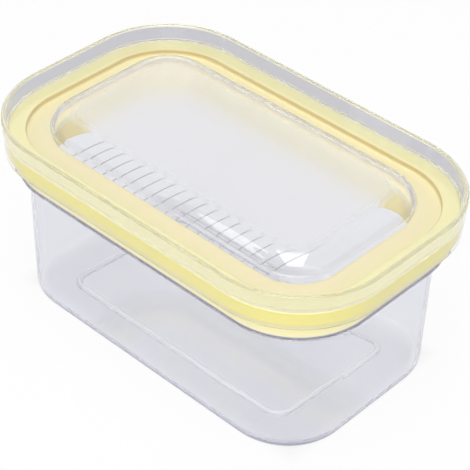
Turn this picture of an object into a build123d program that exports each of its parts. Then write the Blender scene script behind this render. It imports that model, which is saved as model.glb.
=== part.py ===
"""Butter dish with a wire cutter: container, two-part cutter frame, cutting wires and clear lid.

Millimetres, +Z up. The origin is the middle of the container's base. The long sides run along X.
"""

import os

from build123d import *

# Container: outside of the body at its mouth, and how it narrows towards the base
container_length = 143.8
container_width = 86.6
container_corner = 25.0
container_height = 55.2
container_draft = 0.8
container_wall = 1.8
floor_thickness = 2.0
base_radius = 4.5

# Flange round the container's mouth, wider at the ends than along the sides
flange_reach_ends = 4.5
flange_reach_sides = 3.3
flange_thickness = 1.2
flange_edge_radius = 0.4

# Raised panel in the container's floor, hollow underneath
panel_length = 106.0
panel_width = 56.5
panel_corner = 7.0
panel_height = 1.5
panel_edge_radius = 1.0

# Wires: evenly spaced, the first and last where the opening's corners begin
wire_count = 19
wire_end_room = 17.5
wire_diameter = 0.4
wire_grip = 3.8
wire_groove_clearance = 0.02

# Clamp ring under the wires, open below, seated on the flange, with a rib that finds the mouth
ring_thickness = 8.5
ring_inset = 0.5
ring_wall = 1.8
ring_plate = 2.2
rib_depth = 1.2
rib_width = 1.6
rib_clearance = 0.4

# Cutter frame above the wires
frame_height = 5.7
frame_skirt_wall = 1.6
frame_land_width = 6.4
land_thickness = 2.0
recess_depth = 2.5
ledge_width = 9.5
frame_edge_radius = 0.8
land_edge_radius = 0.5
chute_edge_radius = 1.0

# Lid: its outline stands out past the flange, and its skirt hangs round the frame
lid_overhang = 5.2
lid_draft = 0.7
lid_wall = 1.2
lid_plate = 1.5
skirt_depth = 6.7
rim_height = 5.8
rim_width = 1.8
rim_edge_radius = 0.85
skirt_edge_radius = 0.35
lid_clearance = 0.4

# Dome of the lid, level with the lid's rim
dome_reach = 1.0
dome_edge_radius = 7.1
dome_wall = 1.5
dome_foot_radius = 0.8

# Heights that follow from the stack of pieces
wire_z = container_height + ring_thickness
ring_plate_z = wire_z - ring_plate
frame_top_z = wire_z + frame_height
ledge_z = frame_top_z - recess_depth
plate_top_z = frame_top_z + lid_plate
lid_top_z = plate_top_z + rim_height
skirt_bottom_z = frame_top_z - skirt_depth

# Outlines as length, width and corner radius
body_outline = (container_length, container_width, container_corner)
flange_outline = (
    container_length + 2 * flange_reach_ends,
    container_width + 2 * flange_reach_sides,
    container_corner + flange_reach_ends,
)
lid_outline = tuple(
    size + growth * lid_overhang for size, growth in zip(flange_outline, (2, 2, 1))
)
panel_outline = (panel_length, panel_width, panel_corner)

# Insets from the lid's outline
skirt_inside = lid_draft + lid_wall
frame_inset = skirt_inside + lid_clearance
recess_inset = frame_inset + frame_land_width
opening_inset = recess_inset + ledge_width
dome_inset = opening_inset - dome_reach

# Wires, spaced about the middle of the opening
opening_length = lid_outline[0] - 2 * opening_inset
opening_width = lid_outline[1] - 2 * opening_inset
slice_thickness = (opening_length - 2 * wire_end_room) / (wire_count - 1)
wire_centres = [
    ((number - (wire_count - 1) / 2) * slice_thickness, 0, wire_z)
    for number in range(wire_count)
]
wire_length = opening_width + 2 * wire_grip


def rounded(outline, inset=0.0):
    """Draw a rounded rectangle that lies a given inset inside an outline."""
    length, width, corner = outline
    RectangleRounded(length - 2 * inset, width - 2 * inset, corner - inset)


def slab(outline, inset, low_z, high_z, mode=Mode.ADD):
    """Add or cut a straight-sided slab of a rounded outline between two heights."""
    with BuildSketch(Plane.XY.offset(low_z)) as profile:
        rounded(outline, inset)
    extrude(profile.sketch, amount=high_z - low_z, mode=mode)


def tapered(outline, low_inset, high_inset, low_z, high_z, mode=Mode.ADD):
    """Add or cut a slab whose sides lean from one inset at the bottom to another at the top."""
    with BuildSketch(Plane.XY.offset(low_z)) as low_profile:
        rounded(outline, low_inset)
    with BuildSketch(Plane.XY.offset(high_z)) as high_profile:
        rounded(outline, high_inset)
    loft([low_profile.sketch, high_profile.sketch], ruled=True, mode=mode)


def edges_at(part, height, outline, inset, slack=0.05):
    """Find the edges of a part at one height that follow an outline's inset."""
    half_length = outline[0] / 2 - inset
    half_width = outline[1] / 2 - inset
    level = part.edges().filter_by_position(Axis.Z, height - slack, height + slack)
    found = ShapeList()
    for edge in level:
        box = edge.bounding_box()
        miss_x = half_length - max(-box.min.X, box.max.X)
        miss_y = half_width - max(-box.min.Y, box.max.Y)
        if min(abs(miss_x), abs(miss_y)) < slack:
            found.append(edge)
    return found


def cut_wire_grooves():
    """Cut the grooves that hold the wires out of the piece being built."""
    with Locations(*wire_centres):
        Cylinder(
            wire_diameter / 2 + wire_groove_clearance,
            wire_length,
            rotation=(90, 0, 0),
            mode=Mode.SUBTRACT,
        )


def save(part, name):
    """Label a finished piece and write it as its own STEP file."""
    part.label = name
    export_step(part, f"parts/{name}.step")


os.makedirs("parts", exist_ok=True)

# Hollow of the container, with a rounded floor
with BuildPart() as container_hollow:
    tapered(
        body_outline,
        container_draft + container_wall,
        container_wall,
        floor_thickness,
        container_height,
    )
    fillet(container_hollow.edges().group_by(Axis.Z)[0], base_radius - container_wall)

# Flange round the container's mouth
with BuildPart() as flange:
    slab(flange_outline, 0.0, container_height - flange_thickness, container_height)
    fillet(flange.edges().group_by(Axis.Z)[0], flange_edge_radius)
    fillet(flange.edges().group_by(Axis.Z)[-1], flange_edge_radius)

# Panel that stands up from the container's floor
with BuildPart() as floor_panel:
    slab(panel_outline, 0.0, floor_thickness / 2, floor_thickness + panel_height)
    fillet(floor_panel.edges().group_by(Axis.Z)[-1], panel_edge_radius)

# Container: tapered body with its flange, hollow and floor panel
with BuildPart() as container:
    tapered(body_outline, container_draft, 0.0, 0.0, container_height)
    fillet(container.edges().group_by(Axis.Z)[0], base_radius)
    add(flange.part)
    add(container_hollow.part, mode=Mode.SUBTRACT)
    add(floor_panel.part)
    slab(panel_outline, floor_thickness, 0.0, panel_height, mode=Mode.SUBTRACT)
save(container.part, "container")

# Clamp ring: a plate under the wires on an outer wall, the rib and the chute's inner wall
with BuildPart() as wire_clamp_ring:
    slab(flange_outline, ring_inset, container_height, wire_z)
    slab(
        flange_outline,
        ring_inset + ring_wall,
        container_height,
        ring_plate_z,
        mode=Mode.SUBTRACT,
    )
    slab(
        body_outline,
        container_wall + rib_clearance,
        container_height - rib_depth,
        ring_plate_z,
    )
    slab(
        body_outline,
        container_wall + rib_clearance + rib_width,
        container_height - rib_depth,
        ring_plate_z,
        mode=Mode.SUBTRACT,
    )
    slab(lid_outline, opening_inset - ring_wall, container_height, ring_plate_z)
    slab(lid_outline, opening_inset, container_height, wire_z, mode=Mode.SUBTRACT)
    cut_wire_grooves()
save(wire_clamp_ring.part, "wire_clamp_ring")

# Cutter frame: land and recessed ledge above, a groove between its skirt and its seat below
with BuildPart() as cutter_frame:
    slab(lid_outline, frame_inset, wire_z, frame_top_z)
    fillet(
        edges_at(cutter_frame, frame_top_z, lid_outline, frame_inset),
        frame_edge_radius,
    )
    with BuildSketch(Plane.XY.offset(wire_z)):
        rounded(lid_outline, frame_inset + frame_skirt_wall)
        with BuildSketch(mode=Mode.PRIVATE) as seat_outline:
            rounded(flange_outline, ring_inset)
        add(seat_outline.sketch, mode=Mode.SUBTRACT)
    extrude(amount=frame_height - land_thickness, mode=Mode.SUBTRACT)
    slab(lid_outline, recess_inset, ledge_z, frame_top_z, mode=Mode.SUBTRACT)
    slab(lid_outline, opening_inset, wire_z, frame_top_z, mode=Mode.SUBTRACT)
    fillet(
        edges_at(cutter_frame, ledge_z, lid_outline, opening_inset),
        chute_edge_radius,
    )
    fillet(
        edges_at(cutter_frame, frame_top_z, lid_outline, recess_inset),
        land_edge_radius,
    )
    cut_wire_grooves()
save(cutter_frame.part, "cutter_frame")

# Cutting wires, clamped between the ring and the frame
for number, wire_centre in enumerate(wire_centres, start=1):
    with BuildPart() as wire:
        with Locations(wire_centre):
            Cylinder(wire_diameter / 2, wire_length, rotation=(90, 0, 0))
    save(wire.part, f"wire_{number:02d}")

# Hollow under the lid's dome
with BuildPart() as dome_hollow:
    slab(lid_outline, dome_inset + dome_wall, frame_top_z, lid_top_z - dome_wall)
    fillet(dome_hollow.edges().group_by(Axis.Z)[-1], dome_edge_radius - dome_wall)

# Outside of the lid's dome
with BuildPart() as dome:
    slab(lid_outline, dome_inset, frame_top_z, lid_top_z)
    fillet(dome.edges().group_by(Axis.Z)[-1], dome_edge_radius)

# Lid: skirt and rim round a flat plate, with the dome in its middle
with BuildPart() as lid:
    tapered(lid_outline, lid_draft, 0.0, skirt_bottom_z, lid_top_z)
    slab(lid_outline, rim_width, plate_top_z, lid_top_z, mode=Mode.SUBTRACT)
    fillet(lid.edges().group_by(Axis.Z)[-1], rim_edge_radius)
    slab(lid_outline, skirt_inside, skirt_bottom_z, frame_top_z, mode=Mode.SUBTRACT)
    fillet(lid.edges().group_by(Axis.Z)[0], skirt_edge_radius)
    add(dome.part)
    fillet(
        edges_at(lid, plate_top_z, lid_outline, dome_inset, slack=dome_foot_radius),
        dome_foot_radius,
    )
    add(dome_hollow.part, mode=Mode.SUBTRACT)
save(lid.part, "lid")
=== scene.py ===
"""Butter dish with a wire cutter: clear container, yellow two-part cutter, steel wires and clear lid."""

import math
from typing import NamedTuple

import bmesh
import bpy
from bpy.props import FloatProperty, FloatVectorProperty, PointerProperty
from mathutils import Matrix, Vector


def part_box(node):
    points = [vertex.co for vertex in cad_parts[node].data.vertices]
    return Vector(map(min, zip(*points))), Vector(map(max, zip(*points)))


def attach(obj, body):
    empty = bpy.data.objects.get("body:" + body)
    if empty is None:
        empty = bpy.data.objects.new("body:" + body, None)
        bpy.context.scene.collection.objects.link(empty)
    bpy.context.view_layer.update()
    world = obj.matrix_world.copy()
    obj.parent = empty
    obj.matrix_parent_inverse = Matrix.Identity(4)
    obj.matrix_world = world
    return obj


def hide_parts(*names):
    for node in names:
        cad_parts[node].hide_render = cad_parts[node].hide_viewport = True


bl_info = {
    "name": "Butter dish with cutter",
    "version": (1, 0, 0),
    "blender": (4, 5, 0),
    "location": "View3D > Sidebar > Butter Dish",
    "description": "Makes a clear butter dish with a lift-off wire cutter and a clear lid",
    "category": "Add Mesh",
}

MM = 0.001
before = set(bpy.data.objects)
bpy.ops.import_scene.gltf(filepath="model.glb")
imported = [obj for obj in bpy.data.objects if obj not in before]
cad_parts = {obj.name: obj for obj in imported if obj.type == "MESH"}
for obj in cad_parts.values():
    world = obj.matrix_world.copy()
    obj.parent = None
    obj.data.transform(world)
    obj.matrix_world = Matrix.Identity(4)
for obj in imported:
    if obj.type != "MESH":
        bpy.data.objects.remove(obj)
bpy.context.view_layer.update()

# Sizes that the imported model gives
container_low, container_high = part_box("container")
ring_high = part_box("wire_clamp_ring")[1]
cutter_low, cutter_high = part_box("cutter_frame")
lid_low, lid_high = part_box("lid")
wire_names = sorted(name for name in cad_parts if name.startswith("wire_") and name[5:].isdigit())

# How finely curves are cut up
CORNER_STEPS = 20
STRAIGHT_STEPS = 6
ARC_STEP = 0.45 * MM
LEAST_ARC_STEPS = 4
WIRE_SIDES = 16

# Roundings of the smaller edges
OPENING_SEAM_RADIUS = 0.1 * MM
RIM_FOOT_RADIUS = 0.15 * MM
CUTTER_RADIUS = 0.3 * MM
LIP_RADIUS = 0.35 * MM
INNER_RADIUS = 0.4 * MM
RECESS_RADIUS = 0.5 * MM
PANEL_HOLLOW_RADIUS = 0.6 * MM

# Flat bands beside the edges, each with a ring of its own, so that flat faces look flat
GROOVE_BAND = 0.6 * MM
CUTTER_BAND = 0.8 * MM
RIM_BAND = 1.0 * MM
SKIRT_BAND = 1.2 * MM
PANEL_BAND = 1.8 * MM
NARROW_BAND = 2.0 * MM
LEDGE_BAND = 2.5 * MM
WIDE_BAND = 3.0 * MM
FLOOR_BAND = 5.0 * MM
BASE_BAND = 6.0 * MM

# How far the side of the floor panel leans in, and the share of its radius that a wire's end loses
PANEL_LEAN = 0.5 * MM
WIRE_TAPER = 0.4

# Marks on the meshes, most of which carry painted light and shade: slack, reach and strength
CLOSE = 0.1 * MM
# Painted shade on the flange's lips: how far it reaches and how strong it is
LIP_REACH = 0.6 * MM
UPPER_LIP = 0.4 * MM
UPPER_LIP_SHADE = 0.7
LOWER_LIP = 0.3 * MM
LOWER_LIP_SHADE = 0.45
# Painted highlight on the floor panel's upper edge
HIGHLIGHT_REACH = 1.1 * MM
HIGHLIGHT_GROWTH = 3.0
HIGHLIGHT_START = 1.5
# Painted shade on the container's lower edge: how high it reaches and how it fades
DARK_BASE_RISE = 1.6 * MM
DARK_BASE_FADE = 2.0 * MM
# Painted light on the clamp ring's lower band: the share of the pale edge it covers
PALE_SHARE = 0.6
# Painted shade on the step: its reach and how far above the ledge it starts
STEP_REACH = 0.6 * MM
STEP_FOOT = 0.5 * MM
# Painted shade on the recessed ledge: its share beside the step
LEDGE_SHADE_AT_STEP = 0.5
FROST_AT_EDGE = 0.45
FOOT_REACH = 0.5 * MM
BEAD_SLACK = 0.01 * MM

# Strength and depth of the relief that a pattern gives a surface
WAVES_RELIEF = (0.06, 0.4 * MM)
GRAIN_RELIEF = (0.12, 0.05 * MM)
STREAKS_RELIEF = (0.1, 0.01 * MM)

# Share of its light that a colour keeps where a pattern is darkest
WAVES_DARKEST = 0.985
FLOW_DARKEST = 0.97
STREAKS_DARKEST = 0.8

# Clear plastic: refraction, and the dark outline of painted shade where a face is seen along itself
CLEAR_IOR = 1.53
OUTLINE_START = 0.72
OUTLINE_FULL = 0.98
LID_OUTLINE = 0.15
CONTAINER_OUTLINE = 0.75

# Clear plastic: the power of its tint for light that goes straight through, and how much the painted
# highlight on the panel's edge scatters
LID_SHADE = 0.15
CONTAINER_SHADE = 0.5
HIGHLIGHT_SCATTER = 0.9

# Clear plastic: how haze varies its gloss, as shares of its roughness
GLOSSIEST = 0.5
HAZIEST = 1.5

# Light that clear plastic traps: the share mirrored that counts as all of it, and the most passes
FULL_MIRROR = 0.98
MOST_PASSES = 6.0

# Yellow plastic: refraction, glow inside, and how grain varies its roughness
YELLOW_IOR = 1.49
GLOW_WEIGHT = 0.18
GLOW_RADIUS = (1.0, 0.8, 0.35)
GLOW_DEPTH = 2.0 * MM
SMOOTHER = 0.06
ROUGHER = 0.08

# Steel: least and greatest roughness
STEEL_ROUGHNESS = (0.22, 0.4)

# Floor: half its side, its drop below the dish, its whites, and the darker area under the dish
WHITE = (1.0, 1.0, 1.0)
FLOOR_HALF = 3.0
FLOOR_DROP = 0.05 * MM
FLOOR_COLOUR = (0.9, 0.9, 0.9)
SPECK_COLOUR = (0.88, 0.88, 0.88)
INNER_FLOOR_INSET = 14.0 * MM
INNER_FLOOR_FADE = 8.0 * MM

# Points that the lamps light: the middle of the dish and the dome's front corner
DISH_MIDDLE = (0.0, 0.0, 60.0 * MM)
DOME_CORNER = (18.0 * MM, -45.0 * MM, 73.0 * MM)


class Outline(NamedTuple):
    """A rounded rectangle about the origin."""

    length: float
    width: float
    corner: float


class Pattern(NamedTuple):
    """A noise pattern, with its pitch in cycles a metre and its stretch along the axes."""

    pitch: float
    detail: float
    stretch: tuple = (1, 1, 1)


class Lamp(NamedTuple):
    """A rectangular lamp, with its sides and distance in metres and its leans in degrees.

    One that isn't mirrored doesn't show in glossy or clear surfaces.
    """

    name: str
    sides: tuple
    distance: float
    along: float
    across: float
    mirrored: bool


WAVES = Pattern(45.0, 1.0)
HAZE = Pattern(260.0, 4.0)
FLOW = Pattern(60.0, 2.0, (1, 1, 2.5))
GRAIN = Pattern(2600.0, 2.0)
STREAKS = Pattern(900.0, 3.0, (1, 0.02, 1))
SPECKS = Pattern(900.0, 3.0)

OVERHEAD = Lamp("overhead_softbox", (0.51, 1.22), 0.8, 20.5, -2.5, True)
STRIP = Lamp("strip_light", (0.055, 0.6), 0.8, 49.0, -31.8, True)
FILL = Lamp("front_fill", (2.0, 1.2), 1.6, 62.0, 0.0, False)


def length(name, description, millimetres):
    """A length that a user can set, written in millimetres and held in metres."""
    return FloatProperty(
        name=name,
        description=description,
        default=millimetres * MM,
        min=0.0,
        precision=5,
        unit="LENGTH",
    )


def angle(name, description, degrees):
    """An angle that a user can set, written in degrees."""
    return FloatProperty(
        name=name,
        description=description,
        default=math.radians(degrees),
        unit="ROTATION",
    )


def share(name, description, default):
    """A plain number from 0 to 1 that a user can set."""
    return FloatProperty(
        name=name,
        description=description,
        default=default,
        min=0.0,
        max=1.0,
        subtype="FACTOR",
    )


def colour(name, description, default):
    """A linear colour that a user can set."""
    return FloatVectorProperty(
        name=name,
        description=description,
        default=default,
        min=0.0,
        max=1.0,
        subtype="COLOR",
    )


def density(name, description, default):
    """A density of tint inside a material that a user can set."""
    return FloatProperty(name=name, description=description, default=default, min=0.0)


def power(name, description, watts):
    """The power of a lamp that a user can set."""
    return FloatProperty(name=name, description=description, default=watts, min=0.0, unit="POWER")


class ContainerSizes(bpy.types.PropertyGroup):
    """Sizes of the clear container. Its flange's length, width and height come from the frame."""

    flange_corner: length("Flange corner", "Corner radius of the flange's outline", 29.5)
    flange_thickness: length("Flange thickness", "Thickness of the flange round the mouth", 1.2)
    body_length: length("Body length", "Length of the body at its mouth", 143.8)
    body_width: length("Body width", "Width of the body at its mouth", 86.6)
    body_corner: length("Body corner", "Corner radius of the body at its mouth", 25.0)
    draft: length("Draft", "How much the walls lean in from the mouth to the base", 0.8)
    wall: length("Wall", "Thickness of the walls", 1.8)
    floor: length("Floor", "Thickness of the floor", 2.0)
    base_radius: length("Base radius", "Rounding between the walls and the base", 4.5)
    panel_length: length("Panel length", "Length of the raised panel in the floor", 106.0)
    panel_width: length("Panel width", "Width of the raised panel in the floor", 56.5)
    panel_corner: length("Panel corner", "Corner radius of the raised panel", 7.0)
    panel_height: length("Panel height", "How far the panel stands above the floor", 1.5)
    panel_radius: length("Panel edge", "Rounding of the panel's upper edge", 1.0)


class CutterSizes(bpy.types.PropertyGroup):
    """Sizes of the cutter's frame and of the clamp ring under its wires."""

    skirt_wall: length("Skirt wall", "Thickness of the frame's outer skirt", 1.6)
    land: length("Land", "Width of the flat land round the recess", 6.4)
    recess: length("Recess", "Depth of the recess inside the land", 2.5)
    ledge: length("Ledge", "Width of the ledge between the recess and the opening", 9.5)
    land_thickness: length("Land thickness", "Thickness of the land over the skirt's groove", 2.0)
    wall: length("Wall", "Thickness of the ring's outer wall and of its chute wall", 1.8)
    plate: length("Plate", "Thickness of the ring's plate under the wires", 2.2)
    wall_inset: length("Wall inset", "How far the outer wall stands in from the flange's edge", 0.5)
    opening_radius: length("Opening edge", "Rounding of the ledge at the opening", 1.0)
    edge_radius: length("Edge", "Rounding of the frame's outer upper edge", 0.8)
    rib_inset: length("Rib inset", "How far the ring's rib stands in from the body's outside", 2.2)
    rib_width: length("Rib width", "Width of the ring's rib", 1.6)
    rib_depth: length("Rib depth", "How far the rib reaches into the container", 1.2)
    # The painted light on the ring's lower outside covers a share of this height
    pale_edge: length("Pale edge", "Height over which the ring's outside turns from cream to yellow", 2.4)
    seam: length("Seam", "Fine air gap between pieces that rest on each other", 0.04)


class LidSizes(bpy.types.PropertyGroup):
    """Sizes of the clear lid. Its length, width and heights come from the frame."""

    corner: length("Corner", "Corner radius of the lid's outline", 34.7)
    draft: length("Draft", "How much the skirt leans in from top to bottom", 0.7)
    wall: length("Wall", "Thickness of the skirt", 1.2)
    plate: length("Plate", "Thickness of the plate between rim and dome", 1.5)
    rim_height: length("Rim height", "How far the rim stands above the plate", 5.8)
    rim_width: length("Rim width", "Width of the rim", 1.8)
    rim_radius: length("Rim edge", "Rounding of the rim's top", 0.85)
    dome_foot: length("Dome foot", "Distance from the lid's outside to the dome's foot", 17.3)
    dome_radius: length("Dome edge", "Rounding of the dome's shoulder", 7.1)
    dome_lean: angle("Dome lean", "How far the dome's side leans from upright", 18.0)
    dome_wall: length("Dome wall", "Thickness of the dome", 1.5)
    foot_radius: length("Foot radius", "Rounding where the dome meets the plate", 0.8)
    frost_width: length("Frost width", "Width over which the dome's top turns from clear to satin", 3.5)


class Finishes(bpy.types.PropertyGroup):
    """Colours and textures of the five materials."""

    container_tint: colour("Container tint", "Tint of the container's clear plastic", (0.95, 0.96, 0.965))
    lid_tint: colour("Lid tint", "Tint of the lid's clear plastic", (0.935, 0.935, 0.945))
    # Painted shade: the grey band on the rim's inner side, seen from outside
    far_rim_shade: colour("Far tint", "Tint that the far side of the lid's rim adds", (0.37, 0.37, 0.45))
    # Painted light: yellow light that the lid's rounded edge pipes from the cutter
    bead_light: colour(
        "Bead tint",
        "Tint of the lid's rounded edge, which pipes light from the yellow",
        (0.84, 0.82, 0.58),
    )
    # Painted reflection of the cutter's edge at the rim's foot
    foot_reflection: colour(
        "Foot tint",
        "Tint at the rim's foot, where the cutter's edge is mirrored",
        (0.9, 0.87, 0.62),
    )
    depth_tint: colour("Depth tint", "Colour that long ways through clear plastic take", (0.45, 0.42, 0.64))
    # Painted shade: the dark outline of clear plastic seen along its face, and dark lines on the flange's
    # lips
    edge_shade: colour(
        "Edge tint",
        "Tint where clear plastic is seen along its face or at its flange",
        (0.16, 0.12, 0.32),
    )
    # Painted shade on the container's rounded lower edge
    base_shade: colour("Base tint", "Tint of the container's rounded lower edge", (0.56, 0.55, 0.64))
    # Painted highlight: milky white on the floor panel's upper edge
    panel_highlight: colour("Milk", "Colour of the scuffed edge of the floor panel", (0.97, 0.97, 0.98))
    container_depth: density("Container depth", "How fast the container takes the depth tint", 60.0)
    lid_depth: density("Lid depth", "How fast the lid takes the depth tint", 12.0)
    yellow: colour("Yellow", "Colour of the cutter's land", (0.95, 0.89, 0.45))
    # Painted shade: a deeper yellow on the upright skirt
    skirt_shade: colour("Deep yellow", "Colour of the cutter's skirt", (0.94, 0.84, 0.24))
    # Painted shade: a warmer, darker tone on the recessed ledge
    ledge_shade: colour("Warm yellow", "Colour of the cutter's recessed ledge", (0.91, 0.81, 0.47))
    # Painted shade on the step down to the ledge
    step_shade: colour("Dark yellow", "Colour of the step down to the ledge", (0.68, 0.51, 0.17))
    ring: colour("Ring", "Colour of the clamp ring", (0.93, 0.85, 0.45))
    # Painted light: a paler band on the clamp ring's lower outside
    cream_light: colour("Cream", "Colour of the clamp ring's lower edge", (0.91, 0.855, 0.55))
    # Painted light: brighter, warmer walls round the opening, in the frame and in the clamp ring
    upper_chute_light: colour("Upper chute", "Colour of the frame's wall round the opening", (1.0, 0.95, 0.66))
    lower_chute_light: colour("Lower chute", "Colour of the clamp ring's wall round the opening", (1.0, 0.87, 0.44))
    steel: colour("Steel", "Colour of the wires", (0.66, 0.67, 0.69))
    frost: share("Frost", "Roughness of the dome's satin top", 0.32)
    haze: share("Haze", "How much light the dome's satin top scatters back", 0.3)
    gloss: share("Gloss", "Roughness of the clear plastic", 0.015)
    leak: share("Leak", "How much light gets out where clear plastic would mirror it inside", 0.5)
    satin: share("Satin", "Roughness of the cutter's plastic", 0.34)


class StageSettings(bpy.types.PropertyGroup):
    """Camera and light."""

    target: FloatVectorProperty(
        name="Target",
        description="Point on the floor that the camera looks at",
        default=(-29.81 * MM, 36.90 * MM, 0.0),
        unit="LENGTH",
        precision=5,
    )
    distance: length("Distance", "From the target to the camera", 667.4)
    yaw: angle("Yaw", "How far the camera stands round from the dish's front", 42.434)
    pitch: angle("Pitch", "How steeply the camera looks down", 38.594)
    roll: angle("Roll", "How far the camera is tipped sideways", 1.818)
    lens: FloatProperty(name="Lens", description="Focal length", default=130.1, unit="CAMERA")
    sensor: FloatProperty(name="Sensor", description="Sensor width", default=36.0, unit="CAMERA")
    overhead: power("Overhead light", "Power of the softbox over the dish", 5.45)
    strip: power("Strip light", "Power of the narrow lamp that the dome mirrors", 0.24)
    fill: power("Fill light", "Power of the large lamp at the front", 7.4)
    sky: share("Sky", "Strength of the soft light from all around", 0.42)
    floor_glow: share("Floor glow", "How much of the floor's white doesn't take the shadow", 0.92)
    inner_glow: share("Inner glow", "The same for the floor under the dish", 0.6)


class ButterDish(bpy.types.PropertyGroup):
    """Everything that a user can set on the dish."""

    container: PointerProperty(type=ContainerSizes)
    cutter: PointerProperty(type=CutterSizes)
    lid: PointerProperty(type=LidSizes)
    finishes: PointerProperty(type=Finishes)
    stage: PointerProperty(type=StageSettings)


def flange_outline(sizes):
    """Outline of the container's flange."""
    size = container_high - container_low
    return Outline(size.x, size.y, sizes.flange_corner)


def body_outline(sizes):
    """Outline of the container's body at its mouth."""
    return Outline(sizes.body_length, sizes.body_width, sizes.body_corner)


def lid_outline(sizes):
    """Outline of the lid at its top."""
    size = lid_high - lid_low
    return Outline(size.x, size.y, sizes.corner)


def cutter_insets(sizes):
    """Insets of the cutter's skirt, recess and opening from the lid's outline."""
    skirt = lid_high.x - cutter_high.x
    recess = skirt + sizes.land
    opening = recess + sizes.ledge
    return skirt, recess, opening


def clamp(value):
    """Keep a value between 0 and 1."""
    return min(max(value, 0.0), 1.0)


def ring(outline, inset, height):
    """Points round a rounded rectangle that lies an inset inside an outline."""
    half_length = outline.length / 2 - outline.corner
    half_width = outline.width / 2 - outline.corner
    radius = outline.corner - inset
    arcs = []
    for quarter, (side_x, side_y) in enumerate(((1, 1), (-1, 1), (-1, -1), (1, -1))):
        arc = []
        for step in range(CORNER_STEPS + 1):
            turn = (quarter + step / CORNER_STEPS) * math.pi / 2
            x = side_x * half_length + radius * math.cos(turn)
            y = side_y * half_width + radius * math.sin(turn)
            arc.append(Vector((x, y, height)))
        arcs.append(arc)
    points = []
    for quarter, arc in enumerate(arcs):
        start = arc[-1]
        end = arcs[(quarter + 1) % len(arcs)][0]
        points += arc
        points += [start.lerp(end, step / STRAIGHT_STEPS) for step in range(1, STRAIGHT_STEPS)]
    return points


def rounded_profile(corners):
    """Turn the corners of a profile, each an inset, a height and a radius, into a line with arcs.

    The first and the last corner stay as they are, and so does any corner whose radius is 0.
    """
    line = []
    for index, (inset, height, radius) in enumerate(corners):
        corner = Vector((inset, height))
        if radius == 0 or index in (0, len(corners) - 1):
            line.append(corner)
            continue
        before = (Vector(corners[index - 1][:2]) - corner).normalized()
        after = (Vector(corners[index + 1][:2]) - corner).normalized()
        half = before.angle(after) / 2
        middle = corner + (before + after).normalized() * radius / math.sin(half)
        spoke = corner + before * radius / math.tan(half) - middle
        turn = math.pi - 2 * half
        if before.cross(after) > 0:
            turn = -turn
        steps = max(LEAST_ARC_STEPS, round(abs(turn) * radius / ARC_STEP))
        line += [middle + Matrix.Rotation(turn * step / steps, 2) @ spoke for step in range(steps + 1)]
    return line


def rings_along(outline, corners):
    """Rings that carry a profile round an outline."""
    return [ring(outline, inset, height) for inset, height in rounded_profile(corners)]


def skin(name, rings, closed=False):
    """Join rings into one closed mesh: the last ring meets the first, or both ends are capped."""
    count = len(rings[0])
    faces = []
    last = len(rings) if closed else len(rings) - 1
    for index in range(last):
        low = index * count
        high = (index + 1) % len(rings) * count
        for step in range(count):
            following = (step + 1) % count
            faces.append((low + step, low + following, high + following, high + step))
    if not closed:
        faces.append(tuple(range(count)))
        faces.append(tuple(range((len(rings) - 1) * count, len(rings) * count)))
    mesh = bpy.data.meshes.new(name)
    mesh.from_pydata([point for points in rings for point in points], [], faces)
    shell = bmesh.new()
    shell.from_mesh(mesh)
    bmesh.ops.recalc_face_normals(shell, faces=shell.faces)
    shell.to_mesh(mesh)
    shell.free()
    mesh.shade_smooth()
    piece = bpy.data.objects.new(name, mesh)
    bpy.context.scene.collection.objects.link(piece)
    even = piece.modifiers.new("even_normals", "WEIGHTED_NORMAL")
    even.keep_sharp = True
    return piece


def inset_of(outline, point):
    """How far a point lies inside an outline."""
    past_x = max(abs(point.x) - outline.length / 2 + outline.corner, 0.0)
    past_y = max(abs(point.y) - outline.width / 2 + outline.corner, 0.0)
    return outline.corner - math.hypot(past_x, past_y)


def mark(piece, name, outline, value):
    """Put a mark on a mesh: a value that a function gives for each point's inset and height."""
    marks = piece.data.attributes.new(name, "FLOAT", "POINT")
    for vertex, item in zip(piece.data.vertices, marks.data):
        item.value = float(value(inset_of(outline, vertex.co), vertex.co.z))


def finish_piece(piece, material, body, node):
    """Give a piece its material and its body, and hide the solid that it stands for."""
    piece.data.materials.append(material)
    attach(piece, body)
    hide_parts(node)


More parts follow.
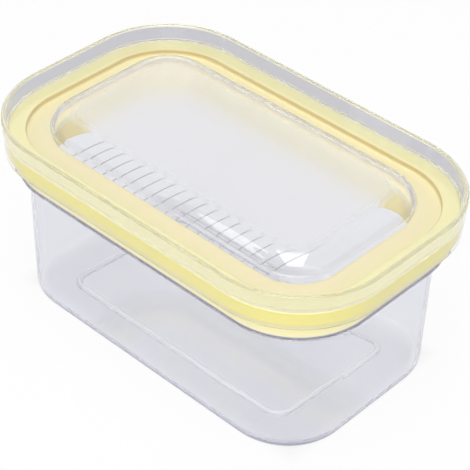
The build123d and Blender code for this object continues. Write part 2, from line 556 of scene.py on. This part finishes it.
class Nodes:
    """The nodes of a material or a world, made and linked by short calls."""

    def __init__(self, owner):
        self.owner = owner
        self.tree = owner.node_tree
        self.tree.nodes.clear()

    def add(self, kind, settings=(), **inputs):
        """Add a node, set its properties, and set or link its inputs, named or numbered as _0."""
        node = self.tree.nodes.new("ShaderNode" + kind)
        for key, value in dict(settings).items():
            setattr(node, key, value)
        for key, value in inputs.items():
            self.put(node, key.replace("_", " "), value)
        return node

    def put(self, node, socket, value):
        """Link an output to a socket, or set the socket."""
        target = node.inputs[int(socket[1:])] if socket[1:].isdigit() else node.inputs[socket]
        if isinstance(value, bpy.types.NodeSocket):
            self.tree.links.new(value, target)
        else:
            target.default_value = value

    def place(self, pitch=1.0, stretch=(1, 1, 1)):
        """Coordinates in the object's own frame, scaled to a pattern's pitch and stretch."""
        spot = self.add("TexCoord").outputs["Object"]
        mapping = self.add("Mapping", Vector=spot, Scale=[pitch * part for part in stretch])
        return mapping.outputs["Vector"]

    def noise(self, pattern):
        """Noise between 0 and 1."""
        place = self.place(pattern.pitch, pattern.stretch)
        return self.add("TexNoise", Vector=place, Scale=1.0, Detail=pattern.detail).outputs["Fac"]

    def spread(self, value, low, high):
        """Spread a value between 0 and 1 over a range."""
        node = self.add("MapRange", Value=value, To_Min=low, To_Max=high)
        return node.outputs["Result"]

    def blend(self, factor, first, second):
        """Mix two colours."""
        node = self.add("Mix", {"data_type": "RGBA"}, _0=factor, _6=first, _7=second)
        return node.outputs[2]

    def mark(self, name):
        """Value of a mark that was put on the mesh."""
        return self.add("Attribute", {"attribute_name": name}).outputs["Fac"]

    def join(self, operation, *values):
        """Join values by a sum, a product or a comparison."""
        inputs = {f"_{index}": value for index, value in enumerate(values)}
        return self.add("Math", {"operation": operation}, **inputs).outputs[0]

    def bump(self, height, strength, distance):
        """Turn a height into a bumped normal."""
        node = self.add("Bump", Height=height, Strength=strength, Distance=distance)
        return node.outputs["Normal"]

    def surface(self, shader, volume=None):
        """Put a shader, and a volume if there is one, on the material's output."""
        output = self.add("OutputMaterial", Surface=shader)
        if volume:
            self.put(output, "Volume", volume)
        return self.owner

    def seen(self):
        """1 where the camera sees a surface, directly, mirrored or through clear plastic."""
        path = self.add("LightPath").outputs
        bent = self.join("MAXIMUM", path["Is Glossy Ray"], path["Is Transmission Ray"])
        return self.join("MAXIMUM", path["Is Camera Ray"], bent)


def new_material(name):
    """Make a material that is built from nodes."""
    material = bpy.data.materials.new(name)
    material.use_nodes = True
    return material


def opaque(tint):
    """A colour with full alpha."""
    return (*tint, 1.0)


def darker(tint, part_kept):
    """A colour that keeps a part of its light, with full alpha."""
    return opaque([part * part_kept for part in tint])


def clear_plastic(name, tint, finishes, lid=False):
    """Clear moulded plastic: faint flow waves, fine haze, tint that gathers in its depth, and painted
    shade, light and reflections on marked zones.
    """
    nodes = Nodes(new_material(name))
    waves = nodes.noise(WAVES)
    haze = nodes.noise(HAZE)
    roughness = nodes.spread(haze, finishes.gloss * GLOSSIEST, finishes.gloss * HAZIEST)
    body = nodes.blend(waves, opaque(tint), darker(tint, WAVES_DARKEST))
    # Painted shade: a dark outline where the face is seen along itself
    outline = nodes.add(
        "MapRange",
        Value=nodes.add("LayerWeight", Blend=0.5).outputs["Facing"],
        From_Min=OUTLINE_START,
        From_Max=OUTLINE_FULL,
        To_Max=LID_OUTLINE if lid else CONTAINER_OUTLINE,
    )
    body = nodes.blend(outline.outputs["Result"], body, opaque(finishes.edge_shade))
    outside = nodes.join("SUBTRACT", 1.0, nodes.add("NewGeometry").outputs["Backfacing"])
    # Marks below carry painted shade, light, highlights and reflections, except the lid's frost
    if lid:
        frost = nodes.mark("frost")
        roughness = nodes.join("MULTIPLY_ADD", frost, finishes.frost, roughness)
        clear = nodes.join("MULTIPLY_ADD", frost, -finishes.haze, 1.0)
        zones = (
            (nodes.join("MULTIPLY", nodes.mark("far"), outside), finishes.far_rim_shade),
            (nodes.mark("bead"), finishes.bead_light),
            (nodes.mark("foot"), finishes.foot_reflection),
        )
    else:
        # Painted highlight on the floor panel's edge: milky white that lets less light through
        panel_highlight = nodes.mark("panel_highlight")
        clear = nodes.join("MULTIPLY_ADD", panel_highlight, -HIGHLIGHT_SCATTER, 1.0)
        zones = (
            (panel_highlight, finishes.panel_highlight),
            (nodes.join("MULTIPLY", nodes.mark("base"), outside), finishes.base_shade),
            (nodes.mark("edge"), finishes.edge_shade),
        )
    for factor, painted_tone in zones:
        body = nodes.blend(factor, body, opaque(painted_tone))
    shader = nodes.add(
        "BsdfPrincipled",
        Base_Color=body,
        Roughness=roughness,
        IOR=CLEAR_IOR,
        Transmission_Weight=clear,
        Normal=nodes.bump(waves, *WAVES_RELIEF),
    )

    # Trapped light, diffuse light and light that tests for shadow go straight through
    path = nodes.add("LightPath")
    fresnel = nodes.add("Fresnel", IOR=CLEAR_IOR).outputs[0]
    mirrored = nodes.join("GREATER_THAN", fresnel, FULL_MIRROR)
    factor = nodes.join("MULTIPLY", mirrored, finishes.leak)
    trapped = nodes.join("GREATER_THAN", path.outputs["Ray Depth"], MOST_PASSES)
    for ray in (path.outputs["Is Shadow Ray"], path.outputs["Is Diffuse Ray"], trapped):
        factor = nodes.join("MAXIMUM", factor, ray)
    shade = LID_SHADE if lid else CONTAINER_SHADE
    open_way = nodes.add("BsdfTransparent", Color=opaque([part**shade for part in tint]))
    mixed = nodes.add("MixShader", _0=factor, _1=shader.outputs[0], _2=open_way.outputs[0])
    depth = nodes.add(
        "VolumeAbsorption",
        Color=opaque(finishes.depth_tint),
        Density=finishes.lid_depth if lid else finishes.container_depth,
    )
    return nodes.surface(mixed.outputs[0], depth.outputs[0])


def yellow_plastic(name, finishes, tone, zones):
    """Pale yellow moulded plastic: fine spark-eroded grain, faint flow marks and a soft glow inside.

    A zone is a mark on the mesh and a tone painted there, as painted light on some parts and painted shade
    on others.
    """
    nodes = Nodes(new_material(name))
    flow = nodes.noise(FLOW)
    grain = nodes.noise(GRAIN)
    body = nodes.blend(flow, opaque(tone), darker(tone, FLOW_DARKEST))
    for zone, zone_tone in zones:
        body = nodes.blend(nodes.mark(zone), body, opaque(zone_tone))
    shader = nodes.add(
        "BsdfPrincipled",
        Base_Color=body,
        Roughness=nodes.spread(grain, finishes.satin - SMOOTHER, finishes.satin + ROUGHER),
        IOR=YELLOW_IOR,
        Normal=nodes.bump(grain, *GRAIN_RELIEF),
        Subsurface_Weight=GLOW_WEIGHT,
        Subsurface_Radius=GLOW_RADIUS,
        Subsurface_Scale=GLOW_DEPTH,
    )
    return nodes.surface(shader.outputs[0])


def steel_wire(finishes):
    """Drawn steel wire: fine streaks along it."""
    nodes = Nodes(new_material("steel_wire"))
    streaks = nodes.noise(STREAKS)
    shader = nodes.add(
        "BsdfPrincipled",
        Base_Color=nodes.blend(streaks, opaque(finishes.steel), darker(finishes.steel, STREAKS_DARKEST)),
        Metallic=1.0,
        Roughness=nodes.spread(streaks, *STEEL_ROUGHNESS),
        Normal=nodes.bump(streaks, *STREAKS_RELIEF),
    )
    return nodes.surface(shader.outputs[0])


class BUTTERDISH_OT_container(bpy.types.Operator):
    """Make the clear container with its flange and its raised floor panel"""

    bl_idname = "butter_dish.container"
    bl_label = "Container"

    def execute(self, context):
        dish = context.scene.butter_dish
        sizes = dish.container
        flange = flange_outline(sizes)
        body = body_outline(sizes)
        panel = Outline(sizes.panel_length, sizes.panel_width, sizes.panel_corner)
        top = container_high.z
        under_flange = top - sizes.flange_thickness
        floor = sizes.floor
        hollow = sizes.floor
        panel_top = floor + sizes.panel_height
        inside = sizes.draft + sizes.wall
        dark_top = sizes.base_radius + DARK_BASE_RISE

        # From the hollow under the panel outwards, up to the mouth and down again to the panel
        rings = rings_along(
            panel,
            [
                (hollow + WIDE_BAND, sizes.panel_height, 0),
                (hollow, sizes.panel_height, PANEL_HOLLOW_RADIUS),
                (hollow, 0.0, LIP_RADIUS),
                (hollow - NARROW_BAND, 0.0, 0),
            ],
        )
        rings += rings_along(
            body,
            [
                (sizes.draft + BASE_BAND, 0.0, 0),
                (sizes.draft, 0.0, sizes.base_radius),
                (sizes.draft * (1 - dark_top / under_flange), dark_top, 0),
                (0.0, under_flange, 0),
            ],
        )
        rings += rings_along(
            flange,
            [
                (NARROW_BAND, under_flange, 0),
                (0.0, under_flange, LIP_RADIUS),
                (0.0, (top + under_flange) / 2, 0),
                (0.0, top, LIP_RADIUS),
                (WIDE_BAND, top, 0),
            ],
        )
        rings += rings_along(
            body,
            [
                (sizes.wall - RIM_BAND, top, 0),
                (sizes.wall, top, LIP_RADIUS),
                (inside, floor, sizes.base_radius - sizes.wall),
                (inside + FLOOR_BAND, floor, 0),
            ],
        )
        rings += rings_along(
            panel,
            [
                (-NARROW_BAND, floor, 0),
                (0.0, floor, sizes.panel_radius / 2),
                (PANEL_LEAN, panel_top, sizes.panel_radius),
                (PANEL_BAND, panel_top, 0),
                (2 * NARROW_BAND, panel_top, 0),
            ],
        )
        piece = skin("container_shell", rings)

        def lip_shade(inset, height):
            """Share of the painted shade on the flange's upper and lower lip."""
            if inset >= LIP_REACH:
                return 0.0
            if height > top - UPPER_LIP:
                return UPPER_LIP_SHADE
            return LOWER_LIP_SHADE if height < under_flange + LOWER_LIP else 0.0

        def panel_highlight_share(inset, height):
            """Share of the painted highlight, a milky white, on the floor panel's upper edge."""
            if abs(inset - PANEL_LEAN) >= HIGHLIGHT_REACH:
                return 0.0
            return clamp((height - floor) / sizes.panel_height * HIGHLIGHT_GROWTH - HIGHLIGHT_START)

        def dark_base(inset, height):
            """Share of the painted shade on the outside of the rounded lower edge."""
            arc_inset = sizes.draft + sizes.base_radius
            reach = math.hypot(arc_inset - inset, sizes.base_radius - height)
            if reach <= sizes.base_radius - CLOSE or inset >= arc_inset + CLOSE:
                return 0.0
            return clamp((dark_top - height) / DARK_BASE_FADE)

        # Painted shade on the flange's lips and the lower edge, and a painted highlight on the panel's edge
        mark(piece, "edge", flange, lip_shade)
        mark(piece, "panel_highlight", panel, panel_highlight_share)
        mark(piece, "base", body, dark_base)
        material = clear_plastic("clear_plastic", dish.finishes.container_tint, dish.finishes)
        finish_piece(piece, material, "container", "container")
        return {"FINISHED"}


class BUTTERDISH_OT_clamp_ring(bpy.types.Operator):
    """Make the clamp ring that carries the wires from below"""

    bl_idname = "butter_dish.clamp_ring"
    bl_label = "Clamp ring"

    def execute(self, context):
        dish = context.scene.butter_dish
        sizes = dish.cutter
        finishes = dish.finishes
        lid = lid_outline(dish.lid)
        opening = cutter_insets(sizes)[2]
        top = ring_high.z
        bottom = container_high.z + sizes.seam
        under = top - sizes.plate
        outer = sizes.wall_inset
        inner = sizes.wall_inset + sizes.wall
        chute_back = opening - sizes.wall
        rib_inner = sizes.rib_inset + sizes.rib_width
        rib_bottom = bottom - sizes.rib_depth

        # Outer wall and plate, then the chute's wall, then the rib between the two
        rings = rings_along(
            flange_outline(dish.container),
            [
                (inner + CUTTER_BAND, under, 0),
                (inner, under, CUTTER_RADIUS),
                (inner, bottom, CUTTER_RADIUS),
                (outer, bottom, CUTTER_RADIUS),
                (outer, bottom + sizes.pale_edge / 2, 0),
                (outer, bottom + sizes.pale_edge, 0),
                (outer, top, CUTTER_RADIUS),
                (outer + WIDE_BAND, top, 0),
            ],
        )
        rings += rings_along(
            lid,
            [
                (opening - WIDE_BAND, top, 0),
                (opening, top, OPENING_SEAM_RADIUS),
                (opening, bottom, 2 * CUTTER_RADIUS),
                (chute_back, bottom, CUTTER_RADIUS),
                (chute_back, under, CUTTER_RADIUS),
                (chute_back - CUTTER_BAND, under, 0),
            ],
        )
        rings += rings_along(
            body_outline(dish.container),
            [
                (rib_inner + CUTTER_BAND, under, 0),
                (rib_inner, under, CUTTER_RADIUS),
                (rib_inner, rib_bottom, CUTTER_RADIUS),
                (sizes.rib_inset, rib_bottom, CUTTER_RADIUS),
                (sizes.rib_inset, under, CUTTER_RADIUS),
                (sizes.rib_inset - CUTTER_BAND, under, 0),
            ],
        )
        piece = skin("clamp_ring", rings, closed=True)
        # Painted light: brighter on the chute wall, paler on the outside's lower band
        mark(piece, "chute", lid, lambda inset, height: abs(inset - opening) < CLOSE)
        pale_top = bottom + sizes.pale_edge * PALE_SHARE
        mark(piece, "pale", lid, lambda inset, height: height < pale_top)
        zones = (("pale", finishes.cream_light), ("chute", finishes.lower_chute_light))
        material = yellow_plastic("ring_plastic", finishes, finishes.ring, zones)
        finish_piece(piece, material, "cutter", "wire_clamp_ring")
        return {"FINISHED"}


class BUTTERDISH_OT_wires(bpy.types.Operator):
    """Make the cutting wires, each in the place that the frame gives it"""

    bl_idname = "butter_dish.wires"
    bl_label = "Wires"

    def execute(self, context):
        material = steel_wire(context.scene.butter_dish.finishes)
        for name in wire_names:
            low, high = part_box(name)
            middle = (low + high) / 2
            radius = (high.z - low.z) / 2
            half = (high.y - low.y) / 2
            taper = radius * WIRE_TAPER
            rings = []
            for along, reach in (
                (-half, radius - taper),
                (-half + taper, radius),
                (half - taper, radius),
                (half, radius - taper),
            ):
                points = []
                for side in range(WIRE_SIDES):
                    turn = side / WIRE_SIDES * 2 * math.pi
                    offset = Vector((reach * math.cos(turn), along, reach * math.sin(turn)))
                    points.append(middle + offset)
                rings.append(points)
            piece = skin("steel_" + name, rings)
            finish_piece(piece, material, "cutter", name)
        return {"FINISHED"}


class BUTTERDISH_OT_cutter_frame(bpy.types.Operator):
    """Make the cutter's frame with its skirt, its land and the recessed ledge round the opening"""

    bl_idname = "butter_dish.cutter_frame"
    bl_label = "Cutter frame"

    def execute(self, context):
        dish = context.scene.butter_dish
        sizes = dish.cutter
        finishes = dish.finishes
        lid = lid_outline(dish.lid)
        skirt, recess, opening = cutter_insets(sizes)
        skirt_inside = skirt + sizes.skirt_wall
        top = cutter_high.z - sizes.seam
        bottom = cutter_low.z + sizes.seam
        ledge = cutter_high.z - sizes.recess
        groove_top = cutter_high.z - sizes.land_thickness

        # Skirt, land, recess and opening, then back along the seat on the clamp ring
        rings = rings_along(
            lid,
            [
                (skirt_inside + GROOVE_BAND, groove_top, 0),
                (skirt_inside, groove_top, CUTTER_RADIUS),
                (skirt_inside, bottom, CUTTER_RADIUS),
                (skirt, bottom, CUTTER_RADIUS),
                (skirt, top, sizes.edge_radius),
                (recess, top, RECESS_RADIUS),
                (recess, (top + ledge) / 2, 0),
                (recess, ledge, INNER_RADIUS),
                (recess + CUTTER_BAND, ledge, 0),
                (opening - LEDGE_BAND, ledge, 0),
                (opening, ledge, sizes.opening_radius),
                (opening, bottom, OPENING_SEAM_RADIUS),
                (opening - WIDE_BAND, bottom, 0),
            ],
        )
        rings += rings_along(
            flange_outline(dish.container),
            [
                (sizes.wall_inset + WIDE_BAND, bottom, 0),
                (sizes.wall_inset, bottom, CUTTER_RADIUS),
                (sizes.wall_inset, groove_top, CUTTER_RADIUS),
                (sizes.wall_inset - GROOVE_BAND, groove_top, 0),
            ],
        )
        piece = skin("cutter_frame_moulding", rings, closed=True)

        def on_skirt(inset, height):
            """Whether a point belongs to the skirt, which takes painted shade."""
            return inset < skirt + CLOSE and height < top - CLOSE

        def on_step(inset, height):
            """Whether a point belongs to the step between the land and the ledge, which takes painted
            shade.
            """
            return abs(inset - recess) < STEP_REACH and ledge + STEP_FOOT < height < top - CLOSE

        def ledge_shade_share(inset, height):
            """Share of the painted shade, warmer and darker, which grows over the ledge towards the
            opening.
            """
            if inset <= recess or abs(height - ledge) >= CLOSE:
                return 0.0
            across = min((inset - recess) / (sizes.ledge - LEDGE_BAND), 1.0)
            return LEDGE_SHADE_AT_STEP + (1 - LEDGE_SHADE_AT_STEP) * across

        # Painted shade on the skirt, the ledge and the step, and painted light on the chute wall
        mark(piece, "skirt", lid, on_skirt)
        mark(piece, "step", lid, on_step)
        mark(piece, "ledge", lid, ledge_shade_share)
        mark(piece, "chute", lid, lambda inset, height: abs(inset - opening) < CLOSE)
        zones = (
            ("chute", finishes.upper_chute_light),
            ("skirt", finishes.skirt_shade),
            ("ledge", finishes.ledge_shade),
            ("step", finishes.step_shade),
        )
        material = yellow_plastic("yellow_plastic", finishes, finishes.yellow, zones)
        finish_piece(piece, material, "cutter", "cutter_frame")
        return {"FINISHED"}


class BUTTERDISH_OT_lid(bpy.types.Operator):
    """Make the clear lid with its skirt, rim, plate and satin-topped dome"""

    bl_idname = "butter_dish.lid"
    bl_label = "Lid"

    def execute(self, context):
        dish = context.scene.butter_dish
        sizes = dish.lid
        outline = lid_outline(sizes)
        top = lid_high.z
        bottom = lid_low.z
        plate_top = top - sizes.rim_height
        plate_under = plate_top - sizes.plate
        skirt_inside = sizes.draft + sizes.wall
        lean = math.tan(sizes.dome_lean)
        shoulder = sizes.dome_foot + sizes.rim_height * lean
        plateau = shoulder + sizes.dome_radius * math.tan(math.pi / 4 - sizes.dome_lean / 2)
        satin = plateau + sizes.frost_width
        centre = outline.corner - RIM_BAND
        hollow_top = top - sizes.dome_wall
        hollow_foot = sizes.dome_foot + sizes.dome_wall / math.cos(sizes.dome_lean) - sizes.plate * lean
        hollow_shoulder = hollow_foot + (hollow_top - plate_under) * lean

        # From the middle of the dome outwards and down the skirt, then back under plate and dome
        rings = rings_along(
            outline,
            [
                (centre, top, 0),
                (satin, top, 0),
                ((plateau + satin) / 2, top, 0),
                (shoulder, top, sizes.dome_radius),
                (sizes.dome_foot, plate_top, sizes.foot_radius),
                (sizes.rim_width + RIM_BAND, plate_top, 0),
                (sizes.rim_width, plate_top, RIM_FOOT_RADIUS),
                (sizes.rim_width, top, sizes.rim_radius),
                (0.0, top, sizes.rim_radius),
                (sizes.draft, bottom, LIP_RADIUS),
                (skirt_inside, bottom, LIP_RADIUS),
                (skirt_inside, plate_under - SKIRT_BAND, 0),
                (skirt_inside, plate_under, INNER_RADIUS),
                (skirt_inside + SKIRT_BAND, plate_under, 0),
                (hollow_foot, plate_under, INNER_RADIUS),
                (hollow_shoulder, hollow_top, sizes.dome_radius - sizes.dome_wall),
                (satin, hollow_top, 0),
                (centre, hollow_top, 0),
            ],
        )
        piece = skin("lid_moulding", rings)

        def frost(inset, height):
            """Share of the satin finish, which lies on the dome's underside."""
            if inset <= hollow_foot + CLOSE or not plate_under + CLOSE < height < hollow_top + CLOSE:
                return 0.0
            return clamp((inset - plateau) / sizes.frost_width + FROST_AT_EDGE)

        def on_foot(inset, height):
            """Whether a point belongs to the plate right under the rim, which takes a painted reflection of
            the cutter's edge.
            """
            across = sizes.rim_width - CLOSE < inset < skirt_inside + FOOT_REACH
            return across and plate_under - FOOT_REACH < height < plate_top + CLOSE

        def on_far_side(inset, height):
            """Whether a point belongs to the rim's inner side, which takes a painted grey shade."""
            return abs(inset - sizes.rim_width) < CLOSE and height > plate_top + CLOSE

        def on_bead(inset, height):
            """Whether a point belongs to the rim's rounded top, which takes painted yellow light."""
            return inset < sizes.rim_width + CLOSE and height > top - sizes.rim_radius + BEAD_SLACK

        mark(piece, "frost", outline, frost)
        # Painted reflection at the rim's foot, painted shade on the rim's far side and painted light on its
        # bead
        mark(piece, "foot", outline, on_foot)
        mark(piece, "far", outline, on_far_side)
        mark(piece, "bead", outline, on_bead)
        material = clear_plastic("clear_lid", dish.finishes.lid_tint, dish.finishes, lid=True)
        finish_piece(piece, material, "lid", "lid")
        return {"FINISHED"}


def add_lamp(lamp, aim, yaw, watts):
    """Add a lamp above a point, turned by a yaw and then leant along and across."""
    light = bpy.data.lights.new(lamp.name, "AREA")
    light.shape = "RECTANGLE"
    light.size, light.size_y = lamp.sides
    light.energy = watts
    box = bpy.data.objects.new(lamp.name, light)
    box.matrix_world = (
        Matrix.Translation(aim)
        @ Matrix.Rotation(yaw, 4, "Z")
        @ Matrix.Rotation(math.radians(lamp.along), 4, "X")
        @ Matrix.Rotation(math.radians(lamp.across), 4, "Y")
        @ Matrix.Translation((0.0, 0.0, lamp.distance))
    )
    box.visible_camera = False
    box.visible_glossy = lamp.mirrored
    box.visible_transmission = lamp.mirrored
    bpy.context.scene.collection.objects.link(box)


def white_floor(stage):
    """Plain white floor that keeps a soft shadow, which is deeper under the dish."""
    nodes = Nodes(new_material("white_floor"))
    specks = nodes.noise(SPECKS)
    plain = nodes.add("BsdfDiffuse", Color=nodes.blend(specks, opaque(FLOOR_COLOUR), opaque(SPECK_COLOUR)))
    glow = nodes.add("Emission", Color=opaque(WHITE), Strength=1.0)
    spot = nodes.add("SeparateXYZ", Vector=nodes.place()).outputs
    past = []
    for axis, half in enumerate((container_high.x, container_high.y)):
        reach = nodes.join("ABSOLUTE", spot[axis])
        beyond = nodes.join("SUBTRACT", reach, half - INNER_FLOOR_INSET)
        past.append(nodes.join("DIVIDE", beyond, INNER_FLOOR_FADE))
    outside = nodes.add("Clamp", Value=nodes.join("MAXIMUM", *past)).outputs[0]
    glow_share = nodes.spread(outside, stage.inner_glow, stage.floor_glow)
    share_seen = nodes.join("MULTIPLY", nodes.seen(), glow_share)
    mixed = nodes.add("MixShader", _0=share_seen, _1=plain.outputs[0], _2=glow.outputs[0])
    return nodes.surface(mixed.outputs[0])


def add_floor(scene, stage):
    """Add the floor that the dish stands on."""
    mesh = bpy.data.meshes.new("floor")
    corners = [(x * FLOOR_HALF, y * FLOOR_HALF, 0) for x, y in ((-1, -1), (1, -1), (1, 1), (-1, 1))]
    mesh.from_pydata(corners, [], [(0, 1, 2, 3)])
    floor = bpy.data.objects.new("floor", mesh)
    floor.location.z = -FLOOR_DROP
    scene.collection.objects.link(floor)
    mesh.materials.append(white_floor(stage))


def add_sky(scene, stage):
    """Add the soft light from all around, which looks white wherever it is seen."""
    scene.world = bpy.data.worlds.new("studio")
    scene.world.use_nodes = True
    nodes = Nodes(scene.world)
    strength = nodes.spread(nodes.seen(), stage.sky, 1.0)
    background = nodes.add("Background", Color=opaque(WHITE), Strength=strength)
    nodes.add("OutputWorld", Surface=background.outputs[0])


def add_camera(scene, stage):
    """Add the camera and turn it to its target."""
    camera_data = bpy.data.cameras.new("camera")
    camera_data.lens = stage.lens
    camera_data.sensor_width = stage.sensor
    camera = bpy.data.objects.new("camera", camera_data)
    turned = (
        Matrix.Rotation(stage.yaw, 4, "Z")
        @ Matrix.Rotation(math.pi / 2 - stage.pitch, 4, "X")
        @ Matrix.Rotation(stage.roll, 4, "Z")
    )
    back = turned.to_3x3() @ Vector((0.0, 0.0, 1.0))
    place = Vector(stage.target) + stage.distance * back
    camera.matrix_world = Matrix.Translation(place) @ turned
    scene.collection.objects.link(camera)
    scene.camera = camera


class BUTTERDISH_OT_stage(bpy.types.Operator):
    """Set up the floor, the light and the camera"""

    bl_idname = "butter_dish.stage"
    bl_label = "Stage"

    def execute(self, context):
        scene = context.scene
        stage = scene.butter_dish.stage
        add_floor(scene, stage)
        add_sky(scene, stage)
        add_lamp(OVERHEAD, DISH_MIDDLE, stage.yaw, stage.overhead)
        add_lamp(STRIP, DOME_CORNER, 0.0, stage.strip)
        add_lamp(FILL, DISH_MIDDLE, stage.yaw, stage.fill)
        add_camera(scene, stage)
        scene.view_settings.view_transform = "Standard"
        return {"FINISHED"}


OPERATORS = (
    BUTTERDISH_OT_stage,
    BUTTERDISH_OT_container,
    BUTTERDISH_OT_clamp_ring,
    BUTTERDISH_OT_wires,
    BUTTERDISH_OT_cutter_frame,
    BUTTERDISH_OT_lid,
)


class BUTTERDISH_PT_panel(bpy.types.Panel):
    """Lists the dish's pieces and its stage"""

    bl_idname = "BUTTERDISH_PT_panel"
    bl_label = "Butter Dish"
    bl_space_type = "VIEW_3D"
    bl_region_type = "UI"
    bl_category = "Butter Dish"

    def draw(self, context):
        for operator in OPERATORS:
            self.layout.operator(operator.bl_idname)


GROUPS = (ContainerSizes, CutterSizes, LidSizes, Finishes, StageSettings, ButterDish)
CLASSES = (*GROUPS, *OPERATORS, BUTTERDISH_PT_panel)


def register():
    """Register the classes and put the dish's settings on the scene."""
    for item in CLASSES:
        bpy.utils.register_class(item)
    bpy.types.Scene.butter_dish = PointerProperty(type=ButterDish)


def unregister():
    """Take the settings and the classes away again."""
    del bpy.types.Scene.butter_dish
    for item in reversed(CLASSES):
        bpy.utils.unregister_class(item)


def main():
    """Make the dish on its stage."""
    register()
    bpy.ops.butter_dish.stage()
    bpy.ops.butter_dish.container()
    bpy.ops.butter_dish.clamp_ring()
    bpy.ops.butter_dish.wires()
    bpy.ops.butter_dish.cutter_frame()
    bpy.ops.butter_dish.lid()


if __name__ == "__main__":
    main()
